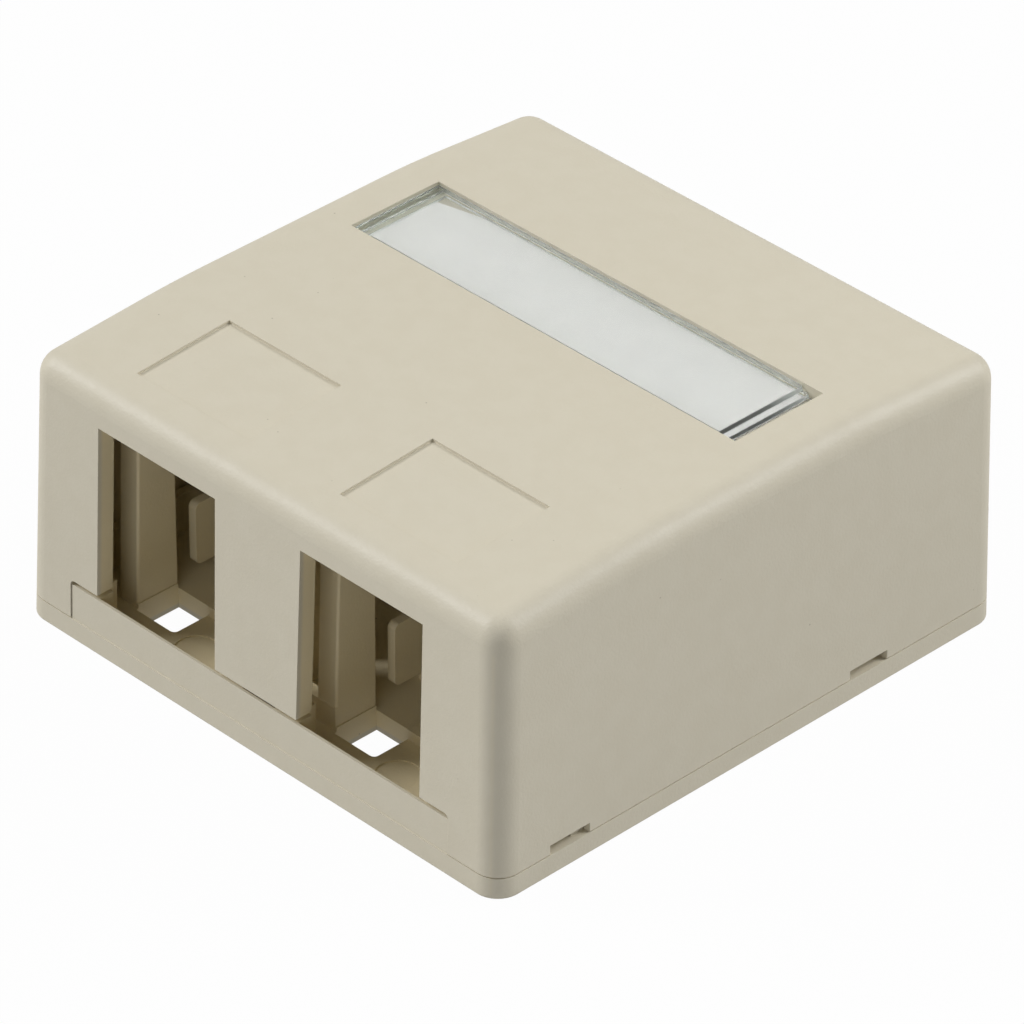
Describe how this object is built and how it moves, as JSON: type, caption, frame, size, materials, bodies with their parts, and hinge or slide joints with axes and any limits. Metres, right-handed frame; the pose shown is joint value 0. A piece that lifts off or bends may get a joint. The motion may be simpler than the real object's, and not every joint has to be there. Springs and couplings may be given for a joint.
{
  "type": "surface mount jack box",
  "caption": "Low square wall box with front openings for snap-in network jacks, a lift-off crowned cover and a clear label window.",
  "frame": {"origin": "middle of the flat underside, which lies on the wall or table", "axes": "+X to the right seen from the ports, +Y from the ports to the back, +Z away from the surface that the box is fixed to"},
  "size_m": [0.0592, 0.0606, 0.0278],
  "materials": {
    "moulded_plastic": "ivory ABS with a fine moulded texture",
    "clear_plastic": "clear polished plastic",
    "paper": "plain matt card"
  },
  "bodies": {
    "base": {"base": "moulded_plastic"},
    "cover": {"cover": "moulded_plastic", "label_card": "paper"},
    "window": {"label_window": "clear_plastic"}
  },
  "joints": [
    {"name": "cover_lift", "type": "slide", "parent": "base", "child": "cover", "axis": [0, 0, 1], "range_m": [0, 0.03]},
    {"name": "window_lift", "type": "slide", "parent": "cover", "child": "window", "axis": [0, 0, 1], "range_m": [0, 0.01]}
  ]
}
